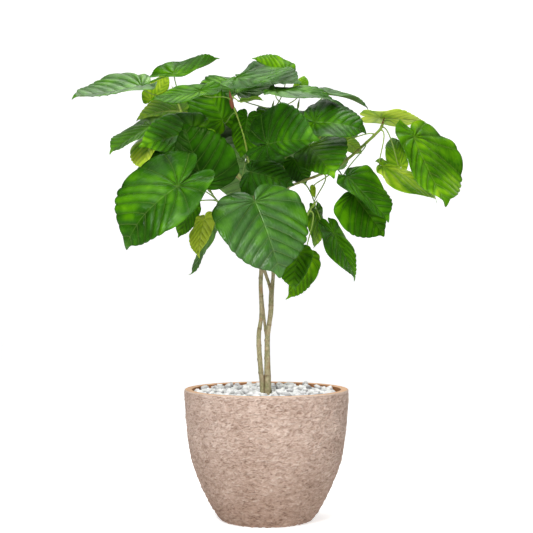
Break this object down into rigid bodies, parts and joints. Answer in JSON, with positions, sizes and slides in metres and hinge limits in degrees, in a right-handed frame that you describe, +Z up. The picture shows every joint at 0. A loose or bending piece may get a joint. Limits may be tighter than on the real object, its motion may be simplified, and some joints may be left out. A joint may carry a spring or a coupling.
{
  "type": "potted ficus",
  "caption": "Fig tree with large heart-shaped leaves on thin braided stems, growing in white crushed stone in a round stone-look planter",
  "frame": {"origin": "centre of the pot's flat base, on the surface the pot stands on", "axes": "+Z up along the pot's turning axis, +X to the right and -Y to the front, as the plant is seen in the picture"},
  "size_m": [0.889, 0.6158, 1.1013],
  "materials": {
    "pot_stone": "matte",
    "soil": "matte",
    "gravel": "matte",
    "bark": "matte",
    "leaf_dark": "satin",
    "leaf_mid": "satin",
    "leaf_young": "satin"
  },
  "bodies": {
    "root": {"pot": "pot_stone", "soil": "soil", "gravel": "gravel", "trunk": "bark", "leaf_01": "leaf_mid", "leaf_02": "leaf_young", "leaf_03": "leaf_mid", "leaf_04": "leaf_mid", "leaf_05": "leaf_young", "leaf_06": "leaf_dark", "leaf_07": "leaf_dark", "leaf_08": "leaf_young", "leaf_09": "leaf_dark", "leaf_10": "leaf_mid", "leaf_11": "leaf_dark", "leaf_12": "leaf_mid", "leaf_13": "leaf_dark", "leaf_14": "leaf_dark", "leaf_15": "leaf_young", "leaf_16": "leaf_young", "leaf_17": "leaf_dark", "leaf_18": "leaf_dark", "leaf_19": "leaf_dark", "leaf_20": "leaf_young", "leaf_21": "leaf_dark", "leaf_22": "leaf_young", "leaf_23": "leaf_mid", "leaf_24": "leaf_young", "leaf_25": "leaf_young", "leaf_26": "leaf_dark", "leaf_27": "leaf_dark", "leaf_28": "leaf_dark", "leaf_29": "leaf_young", "leaf_30": "leaf_young", "leaf_31": "leaf_mid", "leaf_32": "leaf_dark", "leaf_33": "leaf_young", "leaf_34": "leaf_dark", "leaf_35": "leaf_dark", "leaf_36": "leaf_dark", "leaf_37": "leaf_dark", "leaf_38": "leaf_dark", "leaf_39": "leaf_dark", "leaf_40": "leaf_mid", "leaf_41": "leaf_mid", "leaf_42": "leaf_dark", "leaf_43": "leaf_mid", "leaf_44": "leaf_mid", "leaf_45": "leaf_dark", "leaf_46": "leaf_mid", "leaf_47": "leaf_dark", "leaf_48": "leaf_mid", "leaf_49": "leaf_dark", "leaf_50": "leaf_dark", "leaf_51": "leaf_mid", "leaf_52": "leaf_dark", "leaf_53": "leaf_mid"}
  },
  "joints": []
}
